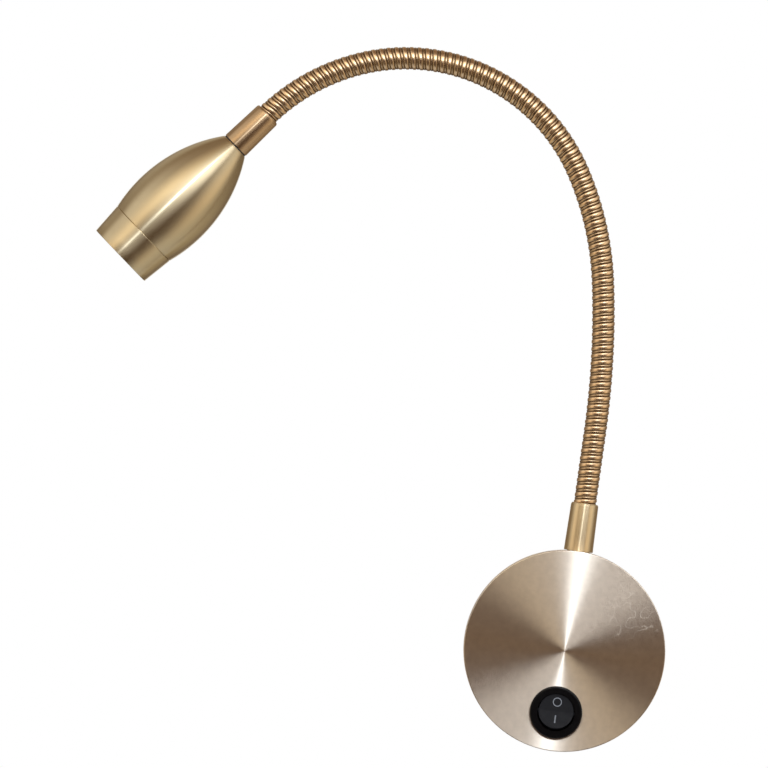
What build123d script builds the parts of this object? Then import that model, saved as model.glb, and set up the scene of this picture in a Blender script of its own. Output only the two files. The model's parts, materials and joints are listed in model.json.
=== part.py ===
from build123d import *
import math
import os

# Wall lamp on a gooseneck, in millimetres.
# The origin is the middle of the back face, the wall is the plane Y = 0, the room is towards -Y, +Z is up.

# Base cup and wall plate
BASE_R = 44.0
BASE_DEPTH = 32.0
COVER_WALL = 1.5
FRONT_WALL = 2.0
RIM_ROUND = 0.4
PLATE_THICK = 1.5
PLATE_GAP = 0.3
SLOT_SPACING = 60.0
SLOT_WIDTH = 4.5
SLOT_LENGTH = 10.0
LUG_WIDTH = 10.0
LUG_LENGTH = 12.5
COVER_SCREW_OUT = 9.0
COVER_SCREW_R = 1.45
COVER_SCREW_SUNK = 0.3
COVER_SCREW_LENGTH = 6.0
KEY_ACROSS = 1.5
KEY_DEEP = 1.6
CABLE_R = 4.0
GROMMET_R = 6.0
GROMMET_FLANGE_R = 8.0
GROMMET_FLANGE = 2.0

# Fits, and how far a cut runs past the face it opens
SLIP = 0.05
FREE = 0.1
OVERCUT = 1.0

# Ferrules and nipples
NECK_BEHIND_FACE = 12.0
FERRULE_LENGTH = 21.0
HEAD_FERRULE_LENGTH = 19.6
FERRULE_WALL = 1.0
FERRULE_FLARE = 0.4
FERRULE_CHAMFER = 0.7
FERRULE_EDGE = 0.2
NIPPLE_BORE_R = 3.0
NIPPLE_GRIP = 10.0
NIPPLE_TAIL = 9.5
NIPPLE_PAST_NUT = 1.5
PLUG_GAP = 1.0
NUT_ACROSS = 14.0
NUT_THICK = 3.0
SADDLE_R = 8.0
SADDLE_THICK = 3.0

# Gooseneck: a straight run, then four bends, each with a radius and an angle in degrees
NECK_STRAIGHT = 32.0
LEAN_R = 374.0
LEAN_ANGLE = 9.95
RISE_R = 134.3
RISE_ANGLE = 21.3
CROWN_R = 82.1
CROWN_ANGLE = 79.0
FALL_R = 89.2
FALL_ANGLE = 31.45
LINKS = 24
RIBS_PER_LINK = 4
HOSE_R = 5.0
VALLEY_R = 4.3
RIB_FLANK = 0.44
LINK_GAP = 0.62
NOSE_R = 3.6
NOSE_BAND_IN = 0.15
LEAD_R = 1.3
LEAD_PLAY = 0.4
SWAY_JOINTS = (1, 3, 5, 7, 9, 13, 17, 21)

# Head, lengths along its axis from the back of the shell
WASHER_THICK = 0.5
WASHER_INSET = 0.3
HEAD_MAX_R = 18.6
HEAD_MAX_AT = 38.8
SEAM_AT = 55.3
SEAM_GAP = 0.1
SEAM_CHAMFER = 0.25
HEAD_LENGTH = 69.3
FRONT_R = 15.4
FRONT_EDGE = 0.3
FRONT_FACE = 1.8
BACK_WALL = 8.0
NUT_ROOM = 0.62
CAVITY_R = 14.6
CAVITY_AT = 30.0
CAVITY_STEP = 1.4
SINK_END = 46.5
SINK_GROOVES = 3
SINK_GROOVE = 2.0
SINK_GROOVE_DEEP = 2.6
SINK_HOLE_AT = 9.6
SINK_HOLE_R = 0.9
WIRE_R = 0.6
WIRE_START = 13.5
WIRE_STRAIGHT = 1.0
WIRE_PAST_BOARD = 0.3
BOARD_R = 10.0
BOARD_THICK = 1.6
BOARD_NOTCH_R = 1.1
BOARD_SCREW_AT = 7.6
BOARD_SCREW_R = 1.0
BOARD_SCREW_LENGTH = 5.0
BOARD_SCREW_HEAD_R = 1.7
BOARD_SCREW_HEAD = 1.2
EMITTER_SIDE = 3.5
EMITTER_BASE = 0.8
DOME_R = 1.3
RING_BORE_R = 12.9
SPIGOT_GAP = 0.5
LIP_OVER = 1.1
LIP_THICK = 0.8
LENS_SET_BACK = 3.3
LENS_FLANGE = 2.0
LENS_OFF_BASE = 0.8
LENS_BACK_R = 4.5
POCKET_R = 2.4
POCKET_DEEP = 3.0
HOLDER_WALL = 1.4
CONE_GAP = 0.3

# Round rocker switch
SWITCH_DROP = 27.0
BEZEL_R = 11.5
BEZEL_THICK = 2.0
BEZEL_ROUND = 0.8
BARREL_R = 9.9
BARREL_LENGTH = 16.0
BARREL_BACK = 2.0
SWITCH_BORE_R = 8.2
LATCH_OUT = 1.0
LATCH_ROOT = 0.5
LATCH_LENGTH = 3.0
LATCH_WIDTH = 4.0
ROCKER_GAP = 0.6
ROCKER_EDGE = 3.3
ROCKER_MIDDLE = 2.3
ROCKER_BACK = 2.0
ROCKER_PIVOT_IN = 0.5
ROCKER_TILT = 11.0
TRUNNION_R = 1.0
TRUNNION_COVER = 0.5
STEM_R = 2.3
STEM_ROOT = 0.5
STEM_LENGTH = 4.5
PLUNGER_R = 1.3
PLUNGER_TIP = 9.0
PLUNGER_GAP = 0.3
SPRING_SEAT = 1.2
SPRING_LENGTH = 3.6
SPRING_R = 1.0
SPRING_WIRE_R = 0.18
SPRING_CURLS = 4
FULCRUM_R = 0.5
BLADE_THICK = 0.6
BLADE_WIDTH = 4.0
BLADE_WING = 5.6
BLADE_TILT = 8.0
TAB_WIDTH = 6.3
TAB_THICK = 0.8
TAB_PAST_LEAD = 1.0
CONTACT_UP = 4.6
CONTACT_R = 1.2
CONTACT_THICK = 1.2
CONTACT_GAP = 0.2

# Terminal block, driver and their leads
BLOCK_BELOW_GROMMET = 0.5
BLOCK_WIDTH = 20.0
BLOCK_HEIGHT = 8.5
BLOCK_DEPTH = 13.5
BLOCK_HOLE_R = 1.5
BLOCK_SCREW_R = 1.6
BLOCK_SCREW_SUNK = 0.8
SCREW_SLOT = 0.5
SCREW_SLOT_DEEP = 0.6
MAINS_R = 0.9
LEAD_OUT = 10.5
LEAD_IN = 3.0
LEAD_PAST_TAB = 1.5
LEAD_STRAIGHT = 1.0
SIDE_LEAD_OUT = 14.0
DRIVER_ABOVE_GROMMET = 1.5
DRIVER_WIDTH = 40.0
DRIVER_HEIGHT = 19.5
DRIVER_DEPTH = 23.0
DRIVER_WALL = 1.2
DRIVER_LID = 1.6
LID_LIP = 1.2
BOARD_POST = 3.0
DRIVER_BOARD_UP = 4.0
DRIVER_BOARD_THICK = 1.6
RECTIFIER_SIDE = 5.5
RECTIFIER_TALL = 3.0
COIL_R = 2.5
COIL_TALL = 2.5
BIG_CAP_R = 3.0
BIG_CAP_TALL = 11.0
CORE_WIDTH = 10.0
CORE_HEIGHT = 11.0
CORE_TALL = 9.0
CORE_NOTCH = 1.5
SMALL_CAP_R = 2.4
SMALL_CAP_TALL = 8.0

# Sizes that follow from those above
COVER_IN_R = BASE_R - COVER_WALL
NECK_OUT = BASE_DEPTH - NECK_BEHIND_FACE
NECK_START_Z = BASE_R + FERRULE_LENGTH
NECK_BENDS = ((LEAN_R, LEAN_ANGLE), (RISE_R, RISE_ANGLE), (CROWN_R, CROWN_ANGLE), (FALL_R, FALL_ANGLE))
NECK_LENGTH = NECK_STRAIGHT + sum(radius * math.radians(turn) for radius, turn in NECK_BENDS)
LINK_LENGTH = NECK_LENGTH / LINKS
FERRULE_TOP_R = HOSE_R + FERRULE_WALL
FERRULE_ROOT_R = FERRULE_TOP_R + FERRULE_FLARE
NIPPLE_R = HOSE_R
PLUG_LENGTH = FERRULE_LENGTH - NIPPLE_GRIP - PLUG_GAP
HEAD_PLUG_LENGTH = HEAD_FERRULE_LENGTH - NIPPLE_GRIP - PLUG_GAP
SADDLE_FLAT = COVER_IN_R - SADDLE_THICK
LEAD_BORE_R = LEAD_R + LEAD_PLAY
HEAD_BACK_R = FERRULE_ROOT_R
HEAD_RISE = HEAD_MAX_R - HEAD_BACK_R
HEAD_ARC_R = (HEAD_MAX_AT ** 2 + HEAD_RISE ** 2) / (2 * HEAD_RISE)
NUT_ROOM_R = NUT_ACROSS / math.sqrt(3) + NUT_ROOM
NUT_ROOM_END = BACK_WALL + NUT_THICK + OVERCUT
SPIGOT_BACK = SINK_END + SPIGOT_GAP
LENS_FRONT = HEAD_LENGTH - LENS_SET_BACK
LENS_BACK = SINK_END + BOARD_THICK + EMITTER_BASE + LENS_OFF_BASE
LENS_R = RING_BORE_R - 2 * FREE
HOLDER_BORE_R = LENS_R - HOLDER_WALL
LENS_CONE_R = HOLDER_BORE_R - CONE_GAP
LIP_AT = LENS_FRONT + 2 * FREE
LIP_R = RING_BORE_R - LIP_OVER
MOUTH_R = FRONT_R - FRONT_FACE
SWITCH_FRONT = -BASE_DEPTH
PIVOT_Y = SWITCH_FRONT + ROCKER_PIVOT_IN
FULCRUM_Y = PIVOT_Y + PLUNGER_TIP + PLUNGER_GAP + BLADE_THICK + SLIP + FULCRUM_R
ROCKER_R = SWITCH_BORE_R - ROCKER_GAP
TRUNNION_TIP = BARREL_R - TRUNNION_COVER
TAB_END = -LEAD_OUT + TAB_PAST_LEAD
BLOCK_TOP = -GROMMET_FLANGE_R - BLOCK_BELOW_GROMMET
BLOCK_BOTTOM = BLOCK_TOP - BLOCK_HEIGHT
BLOCK_FRONT = -PLATE_THICK - BLOCK_DEPTH
BLOCK_HOLE_X = TAB_WIDTH / 2 + MAINS_R + SLIP
DRIVER_BOTTOM = GROMMET_FLANGE_R + DRIVER_ABOVE_GROMMET
DRIVER_TOP = DRIVER_BOTTOM + DRIVER_HEIGHT
LID_SEAT = -PLATE_THICK - DRIVER_DEPTH + DRIVER_LID
BOARD_BACK = -PLATE_THICK - DRIVER_BOARD_UP


# Shared shapes
def rod(radius, start, end):
    """Round bar between two points."""
    run = Vector(*end) - Vector(*start)
    bar = Cylinder(radius, run.length, align=(Align.CENTER, Align.CENTER, Align.MIN))
    return Plane(origin=start, z_dir=run) * bar


def block(x0, x1, y0, y1, z0, z1):
    """Box between two corners."""
    return Pos((x0 + x1) / 2, (y0 + y1) / 2, (z0 + z1) / 2) * Box(x1 - x0, y1 - y0, z1 - z0)


def turned(*edges):
    """Solid of revolution about Z from the edges of a closed outline given as (radius, 0, height)."""
    return revolve(make_face(edges), Axis.Z)


def turned_line(*points):
    """Solid of revolution about Z from a straight-sided outline of (radius, height) points."""
    corners = [(radius, 0, height) for radius, height in points]
    return turned(*Polyline(*corners, close=True).edges())


def bent_rod(radius, *edges):
    """Round bar along tangent lines and arcs."""
    path = Wire(edges)
    section = Plane(origin=path @ 0, z_dir=path % 0) * Circle(radius)
    return sweep(section, path)


def around_x(shape, y, z, angle):
    """The shape turned about an axis along X."""
    return shape.rotate(Axis((0, y, z), (1, 0, 0)), angle)


# Gooseneck centreline
def neck_at(length):
    """Point and heading in degrees on the centreline, in the plane Y = -NECK_OUT."""
    x, z, heading = 0.0, NECK_START_Z, 90.0
    runs = [(None, NECK_STRAIGHT)] + [(radius, radius * math.radians(turn)) for radius, turn in NECK_BENDS]
    left = length
    for radius, span in runs:
        step = min(left, span)
        if radius is None or left < 0:
            x += step * math.cos(math.radians(heading))
            z += step * math.sin(math.radians(heading))
        else:
            turn = math.degrees(step / radius)
            x += radius * (math.sin(math.radians(heading + turn)) - math.sin(math.radians(heading)))
            z -= radius * (math.cos(math.radians(heading + turn)) - math.cos(math.radians(heading)))
            heading += turn
        left -= step
        if left <= 0:
            break
    if left > 0:
        x += left * math.cos(math.radians(heading))
        z += left * math.sin(math.radians(heading))
    return (x, -NECK_OUT, z), heading


def neck_plane(length):
    """Plane square to the neck, its X axis always along +Y."""
    point, heading = neck_at(length)
    along = (math.cos(math.radians(heading)), 0, math.sin(math.radians(heading)))
    return Plane(origin=point, x_dir=(0, 1, 0), z_dir=along)


def hinge_axis(joint):
    """Axis of a neck joint: across the wall plane for a sway, square to it for a bend."""
    if joint not in SWAY_JOINTS:
        return (0, -1, 0)
    heading = math.radians(neck_at(joint * LINK_LENGTH)[1])
    return (math.sin(heading), 0, -math.cos(heading))


def nose(joint, clearance):
    """Ball with a round band about the hinge axis, between two links, or the room for it."""
    ball = NOSE_R + clearance
    band = ball - NOSE_BAND_IN
    half = math.sqrt(ball ** 2 - band ** 2)
    shoulder = ball * math.sqrt(0.5)
    shape = turned(
        Line((0, 0, ball), (0, 0, -ball)),
        ThreePointArc((0, 0, -ball), (shoulder, 0, -shoulder), (band, 0, -half)),
        Line((band, 0, -half), (band, 0, half)),
        ThreePointArc((band, 0, half), (shoulder, 0, shoulder), (0, 0, ball)),
    )
    centre = neck_plane(joint * LINK_LENGTH)
    return Plane(origin=centre.origin, x_dir=-centre.z_dir, z_dir=hinge_axis(joint)) * shape


def neck_link(number):
    """One ribbed link with its socket below and its nose above; the end links have plugs for the ferrules."""
    start = (number - 1) * LINK_LENGTH
    end = number * LINK_LENGTH
    pitch = LINK_LENGTH / RIBS_PER_LINK
    rings = []
    for rib in range(RIBS_PER_LINK):
        foot = start + rib * pitch + LINK_GAP
        heel = start + (rib + 1) * pitch - LINK_GAP
        rings.append(neck_plane(foot) * Circle(VALLEY_R))
        rings.append(neck_plane(foot + RIB_FLANK) * Circle(HOSE_R))
        rings.append(neck_plane(heel - RIB_FLANK) * Circle(HOSE_R))
        rings.append(neck_plane(heel) * Circle(VALLEY_R))
    link = loft(rings, ruled=True)
    low, high = neck_plane(start), neck_plane(end)
    chord = (high.origin - low.origin).normalized()
    reach = NOSE_R + OVERCUT
    if number == 1:
        tip = low.origin - low.z_dir * PLUG_LENGTH
        link += rod(HOSE_R, tip, low.origin + low.z_dir * LINK_GAP)
        link -= rod(LEAD_BORE_R, tip - low.z_dir * OVERCUT, low.origin + low.z_dir * OVERCUT)
    else:
        link -= nose(number - 1, FREE)
    if number == LINKS:
        tip = high.origin + high.z_dir * HEAD_PLUG_LENGTH
        link += rod(HOSE_R, high.origin - high.z_dir * LINK_GAP, tip)
        link -= rod(LEAD_BORE_R, high.origin - high.z_dir * OVERCUT, tip + high.z_dir * OVERCUT)
        reach = 0
    else:
        link += nose(number, 0)
    return link - rod(LEAD_BORE_R, low.origin - chord * OVERCUT, high.origin + chord * reach)


def led_lead():
    """Round twin lead from the driver through the neck into the head."""
    start = (0, -NECK_OUT, DRIVER_TOP - LEAD_IN)
    edges = [Line(start, neck_at(NECK_STRAIGHT)[0])]
    done = NECK_STRAIGHT
    for radius, turn in NECK_BENDS:
        span = radius * math.radians(turn)
        a, b, c = (neck_at(done + part * span)[0] for part in (0, 0.5, 1))
        edges.append(ThreePointArc(a, b, c))
        done += span
    tip = neck_at(NECK_LENGTH + HEAD_FERRULE_LENGTH + WASHER_THICK + WIRE_START)[0]
    edges.append(Line(neck_at(NECK_LENGTH)[0], tip))
    return bent_rod(LEAD_R, *edges)


# Base
def base_cover():
    inside = BASE_DEPTH - FRONT_WALL
    outer = turned_line((0, 0), (BASE_R, 0), (BASE_R, BASE_DEPTH), (0, BASE_DEPTH))
    outer = fillet(outer.edges().filter_by(GeomType.CIRCLE).group_by(Axis.Z)[-1], RIM_ROUND)
    inner = turned_line((0, -OVERCUT), (COVER_IN_R, -OVERCUT), (COVER_IN_R, inside), (0, inside))
    cup = Rot(90, 0, 0) * (outer - inner)
    cup -= rod(
        BARREL_R + FREE,
        (0, -BASE_DEPTH - OVERCUT, -SWITCH_DROP),
        (0, -inside + OVERCUT, -SWITCH_DROP),
    )
    cup -= rod(NIPPLE_R + FREE, (0, -NECK_OUT, COVER_IN_R - NIPPLE_R), (0, -NECK_OUT, BASE_R + OVERCUT))
    for side in (-1, 1):
        cup -= rod(
            COVER_SCREW_R + 2 * FREE,
            (side * (COVER_IN_R - OVERCUT), -COVER_SCREW_OUT, 0),
            (side * (BASE_R + OVERCUT), -COVER_SCREW_OUT, 0),
        )
    return cup


def mounting_plate():
    plate_r = COVER_IN_R - PLATE_GAP
    plate = rod(plate_r, (0, -PLATE_THICK, 0), (0, 0, 0))
    lug_x = math.sqrt(plate_r ** 2 - (LUG_WIDTH / 2) ** 2)
    half = LUG_WIDTH / 2
    for side in (-1, 1):
        x0, x1 = sorted((side * lug_x, side * (lug_x - PLATE_THICK)))
        plate += block(x0, x1, -PLATE_THICK - LUG_LENGTH, -PLATE_THICK / 2, -half, half)
        plate -= rod(
            COVER_SCREW_R + SLIP,
            (x0 - OVERCUT, -COVER_SCREW_OUT, 0),
            (x1 + OVERCUT, -COVER_SCREW_OUT, 0),
        )
        slot = Plane(origin=(side * SLOT_SPACING / 2, 0, 0), x_dir=(1, 0, 0), z_dir=(0, -1, 0))
        plate -= slot * extrude(SlotOverall(SLOT_LENGTH, SLOT_WIDTH), PLATE_THICK)
    return plate - rod(GROMMET_R + SLIP, (0, -PLATE_THICK - OVERCUT, 0), (0, OVERCUT, 0))


def cover_screws():
    """Headless screws through the cover's side into the plate's lugs, each with a hexagon socket."""
    screws = []
    crown = BASE_R - COVER_SCREW_SUNK
    for side in (-1, 1):
        end = (side * crown, -COVER_SCREW_OUT, 0)
        tip = (side * (crown - COVER_SCREW_LENGTH), -COVER_SCREW_OUT, 0)
        socket = extrude(RegularPolygon(KEY_ACROSS / 2, 6, major_radius=False), KEY_DEEP)
        socket = Plane(origin=end, x_dir=(0, 0, 1), z_dir=(-side, 0, 0)) * socket
        screws.append(rod(COVER_SCREW_R, end, tip) - socket)
    return Compound(screws)


def cable_grommet():
    front = -PLATE_THICK - GROMMET_FLANGE
    sleeve = rod(GROMMET_R, (0, -PLATE_THICK, 0), (0, 0, 0))
    flange = rod(GROMMET_FLANGE_R, (0, front, 0), (0, -PLATE_THICK, 0))
    return sleeve + flange - rod(CABLE_R, (0, front - OVERCUT, 0), (0, OVERCUT, 0))


def ferrule(origin, along, length):
    """Tapered sleeve, its root at the origin and its chamfered mouth at the far end."""
    mouth = FERRULE_TOP_R - FERRULE_CHAMFER * 0.6
    bore = HOSE_R + SLIP
    shape = turned_line(
        (bore, 0),
        (FERRULE_ROOT_R - FERRULE_EDGE, 0),
        (FERRULE_ROOT_R, FERRULE_EDGE),
        (FERRULE_TOP_R, length - FERRULE_CHAMFER),
        (mouth, length),
        (bore, length),
    )
    return Plane(origin=origin, x_dir=(0, 1, 0), z_dir=along) * shape


def hex_nut(origin, along):
    nut = extrude(RegularPolygon(NUT_ACROSS / 2, 6, major_radius=False), NUT_THICK)
    nut -= Cylinder(NIPPLE_R + SLIP, 4 * NUT_THICK)
    return Plane(origin=origin, x_dir=(0, 1, 0), z_dir=along) * nut


def base_nipple():
    low = (0, -NECK_OUT, BASE_R - NIPPLE_TAIL)
    high = (0, -NECK_OUT, BASE_R + NIPPLE_GRIP)
    return rod(NIPPLE_R, low, high) - rod(NIPPLE_BORE_R, low, high)


def saddle_washer():
    saddle = rod(SADDLE_R, (0, -NECK_OUT, SADDLE_FLAT), (0, -NECK_OUT, BASE_R))
    saddle &= rod(COVER_IN_R - SLIP, (0, -BASE_DEPTH, 0), (0, 0, 0))
    hole_start = (0, -NECK_OUT, SADDLE_FLAT - OVERCUT)
    return saddle - rod(NIPPLE_R + FREE, hole_start, (0, -NECK_OUT, BASE_R + OVERCUT))


def base_nut():
    return hex_nut((0, -NECK_OUT, SADDLE_FLAT - NUT_THICK), (0, 0, 1))


# Switch
def switch_body():
    z = -SWITCH_DROP
    front = SWITCH_FRONT - BEZEL_THICK
    back = SWITCH_FRONT + BARREL_LENGTH
    bezel = rod(BEZEL_R, (0, front, z), (0, SWITCH_FRONT, z))
    bezel = fillet(bezel.edges().filter_by(GeomType.CIRCLE).sort_by(Axis.Y)[0], BEZEL_ROUND)
    body = bezel + rod(BARREL_R, (0, SWITCH_FRONT, z), (0, back, z))
    latch_y = SWITCH_FRONT + FRONT_WALL + FREE
    for side in (-1, 1):
        x0, x1 = sorted((side * (BARREL_R - LATCH_ROOT), side * (BARREL_R + LATCH_OUT)))
        half = LATCH_WIDTH / 2
        body += block(x0, x1, latch_y, latch_y + LATCH_LENGTH, z - half, z + half)
    body -= rod(SWITCH_BORE_R, (0, front - OVERCUT, z), (0, back - BARREL_BACK, z))
    pin_end = TRUNNION_TIP + SLIP
    body -= rod(TRUNNION_R + SLIP, (-pin_end, PIVOT_Y, z), (pin_end, PIVOT_Y, z))
    wide, thick = TAB_WIDTH / 2 + SLIP, TAB_THICK / 2 + SLIP
    slot_y = back - BARREL_BACK - OVERCUT
    for up in (0, CONTACT_UP):
        body -= block(-wide, wide, slot_y, back + OVERCUT, z + up - thick, z + up + thick)
    return body


def switch_terminals():
    z = -SWITCH_DROP
    half, thick = TAB_WIDTH / 2, TAB_THICK / 2
    middle = block(-half, half, FULCRUM_Y, TAB_END, z - thick, z + thick)
    middle += rod(FULCRUM_R, (-half, FULCRUM_Y, z), (half, FULCRUM_Y, z))
    up = z + CONTACT_UP
    face = FULCRUM_Y - FULCRUM_R - SLIP + CONTACT_GAP
    load = block(-half, half, face + CONTACT_THICK / 2, TAB_END, up - thick, up + thick)
    load += rod(CONTACT_R, (0, face, up), (0, face + CONTACT_THICK, up))
    return Compound([middle, load])


def switch_rocker():
    z = -SWITCH_DROP
    front, middle, back = PIVOT_Y - ROCKER_EDGE, PIVOT_Y - ROCKER_MIDDLE, PIVOT_Y + ROCKER_BACK
    edge = ROCKER_R + OVERCUT
    side = [(back, -edge), (front, -edge), (middle, 0), (front, edge), (back, edge)]
    outline = Polyline(*[(-edge, y, z + up) for y, up in side], close=True)
    cap = extrude(make_face(outline.edges()), 2 * edge, dir=(1, 0, 0))
    cap &= rod(ROCKER_R, (0, PIVOT_Y - 2 * ROCKER_EDGE, z), (0, PIVOT_Y + 2 * ROCKER_BACK, z))
    cap += rod(STEM_R, (0, back - STEM_ROOT, z), (0, back + STEM_LENGTH, z))
    cap += rod(TRUNNION_R, (-TRUNNION_TIP, PIVOT_Y, z), (TRUNNION_TIP, PIVOT_Y, z))
    cap -= rod(PLUNGER_R + SLIP, (0, PIVOT_Y + SPRING_SEAT, z), (0, back + STEM_LENGTH + OVERCUT, z))
    return around_x(cap, PIVOT_Y, z, -ROCKER_TILT)


def rocker_plunger():
    z = -SWITCH_DROP
    top = PIVOT_Y + SPRING_SEAT + SPRING_LENGTH
    tip = PIVOT_Y + PLUNGER_TIP - PLUNGER_R
    shape = rod(PLUNGER_R, (0, top, z), (0, tip, z)) + Pos(0, tip, z) * Sphere(PLUNGER_R)
    return around_x(shape, PIVOT_Y, z, -ROCKER_TILT)


def rocker_spring():
    """Wound spring as one unbroken tube, between the rocker and its plunger."""
    z = -SWITCH_DROP
    height = SPRING_LENGTH - 2 * SPRING_WIRE_R - 2 * SLIP
    pitch = height / SPRING_CURLS
    coil = Helix(pitch, height, SPRING_R)
    section = Plane(origin=coil @ 0, z_dir=coil % 0) * Circle(SPRING_WIRE_R)
    wound = sweep(section, coil, is_frenet=True)
    points = [coil @ (step / 200) for step in range(201)]
    apart = [(a - b).length for i, a in enumerate(points) for b in points[i + 26:]]
    print("rocker_spring least gap to itself", round(min(apart) - 2 * SPRING_WIRE_R, 2), "mm")
    seat = Plane(origin=(0, PIVOT_Y + SPRING_SEAT + SPRING_WIRE_R + SLIP, z), z_dir=(0, 1, 0))
    return around_x(seat * wound, PIVOT_Y, z, -ROCKER_TILT)


def contact_blade():
    """Bent rocking strip that closes the contact, open at rest."""
    z = -SWITCH_DROP
    half = BLADE_WIDTH / 2
    inner = FULCRUM_R + SLIP
    outer = inner + BLADE_THICK
    blade = rod(outer, (-half, FULCRUM_Y, z), (half, FULCRUM_Y, z))
    blade &= block(-half, half, FULCRUM_Y - outer, FULCRUM_Y, z - outer, z + outer)
    for side in (-1, 1):
        z0, z1 = sorted((z, z + side * BLADE_WING))
        wing = block(-half, half, FULCRUM_Y - outer, FULCRUM_Y - inner, z0, z1)
        blade += around_x(wing, FULCRUM_Y, z, side * BLADE_TILT)
    blade -= rod(inner, (-half - OVERCUT, FULCRUM_Y, z), (half + OVERCUT, FULCRUM_Y, z))
    return around_x(blade, FULCRUM_Y, z, BLADE_TILT)


# Supply and driver
def screw_heights():
    quarter = BLOCK_HEIGHT / 4
    return (BLOCK_BOTTOM + quarter, BLOCK_TOP - quarter)


def terminal_block():
    half = BLOCK_WIDTH / 2
    body = block(-half, half, BLOCK_FRONT, -PLATE_THICK, BLOCK_BOTTOM, BLOCK_TOP)
    for x in (-BLOCK_HOLE_X, BLOCK_HOLE_X):
        body -= rod(BLOCK_HOLE_R, (x, -LEAD_OUT, BLOCK_BOTTOM - OVERCUT), (x, -LEAD_OUT, BLOCK_TOP + OVERCUT))
        for z in screw_heights():
            tip = (x, -LEAD_OUT - MAINS_R - FREE, z)
            body -= rod(BLOCK_SCREW_R + SLIP, (x, BLOCK_FRONT - OVERCUT, z), tip)
    return body


def terminal_screws():
    y0 = BLOCK_FRONT + BLOCK_SCREW_SUNK
    half = SCREW_SLOT / 2
    screws = []
    for x in (-BLOCK_HOLE_X, BLOCK_HOLE_X):
        for z in screw_heights():
            screw = rod(BLOCK_SCREW_R, (x, y0, z), (x, -LEAD_OUT - MAINS_R - FREE, z))
            x0, x1 = x - BLOCK_SCREW_R, x + BLOCK_SCREW_R
            screws.append(screw - block(x0, x1, y0, y0 + SCREW_SLOT_DEEP, z - half, z + half))
    return Compound(screws)


def mains_leads():
    """Supply to the driver, block to the switch, and switch to the driver."""
    y = -LEAD_OUT
    driver_end = DRIVER_BOTTOM + LEAD_IN
    inlet = rod(MAINS_R, (-BLOCK_HOLE_X, y, BLOCK_TOP - LEAD_IN), (-BLOCK_HOLE_X, y, driver_end))
    load_end = -SWITCH_DROP + CONTACT_UP - LEAD_PAST_TAB
    live = rod(MAINS_R, (BLOCK_HOLE_X, y, BLOCK_BOTTOM + LEAD_IN), (BLOCK_HOLE_X, y, load_end))
    x0, x1 = -BLOCK_HOLE_X, -SIDE_LEAD_OUT
    middle, radius = (x0 + x1) / 2, (x0 - x1) / 2
    start = -SWITCH_DROP - LEAD_PAST_TAB
    foot = start + LEAD_STRAIGHT
    top = foot + 2 * radius
    across = radius * (1 - math.sqrt(0.5))
    rise = radius * math.sqrt(0.5)
    side = bent_rod(
        MAINS_R,
        Line((x0, y, start), (x0, y, foot)),
        ThreePointArc((x0, y, foot), (x0 - across, y, foot + rise), (middle, y, foot + radius)),
        ThreePointArc((middle, y, foot + radius), (x1 + across, y, top - rise), (x1, y, top)),
        Line((x1, y, top), (x1, y, driver_end)),
    )
    return Compound([inlet, live, side])


def driver_case():
    half, wall = DRIVER_WIDTH / 2, DRIVER_WALL
    back = -PLATE_THICK
    case = block(-half, half, LID_SEAT, back, DRIVER_BOTTOM, DRIVER_TOP)
    case -= block(
        -half + wall, half - wall, LID_SEAT - OVERCUT, back - wall, DRIVER_BOTTOM + wall, DRIVER_TOP - wall
    )
    for side in (-1, 1):
        x0, x1 = sorted((side * (half - wall), side * (half - wall - BOARD_POST)))
        for z in (DRIVER_BOTTOM + wall, DRIVER_TOP - wall - BOARD_POST):
            case += block(x0, x1, BOARD_BACK, back - wall / 2, z, z + BOARD_POST)
    case -= rod(LEAD_R + FREE, (0, -NECK_OUT, DRIVER_TOP - 2 * wall), (0, -NECK_OUT, DRIVER_TOP + OVERCUT))
    for x in (-BLOCK_HOLE_X, -SIDE_LEAD_OUT):
        hole_end = (x, -LEAD_OUT, DRIVER_BOTTOM + 2 * wall)
        case -= rod(MAINS_R + FREE, (x, -LEAD_OUT, DRIVER_BOTTOM - OVERCUT), hole_end)
    return case


def driver_lid():
    half = DRIVER_WIDTH / 2
    lid = block(-half, half, LID_SEAT - DRIVER_LID, LID_SEAT, DRIVER_BOTTOM, DRIVER_TOP)
    inset = DRIVER_WALL + FREE
    root = LID_SEAT - DRIVER_LID / 2
    tip = LID_SEAT + LID_LIP
    lip = block(-half + inset, half - inset, root, tip, DRIVER_BOTTOM + inset, DRIVER_TOP - inset)
    inset += DRIVER_WALL
    lip -= block(
        -half + inset, half - inset, root, tip + OVERCUT, DRIVER_BOTTOM + inset, DRIVER_TOP - inset
    )
    return lid + lip


def driver_board():
    inset = DRIVER_WALL + 2 * FREE
    half = DRIVER_WIDTH / 2 - inset
    front = BOARD_BACK - DRIVER_BOARD_THICK
    return block(-half, half, front, BOARD_BACK, DRIVER_BOTTOM + inset, DRIVER_TOP - inset)


def row_middles(widths, room):
    """Middles of things set side by side across a room, with even gaps."""
    gap = (room - sum(widths)) / (len(widths) + 1)
    middles, edge = [], -room / 2
    for width in widths:
        middles.append(edge + gap + width / 2)
        edge += gap + width
    return middles


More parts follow.
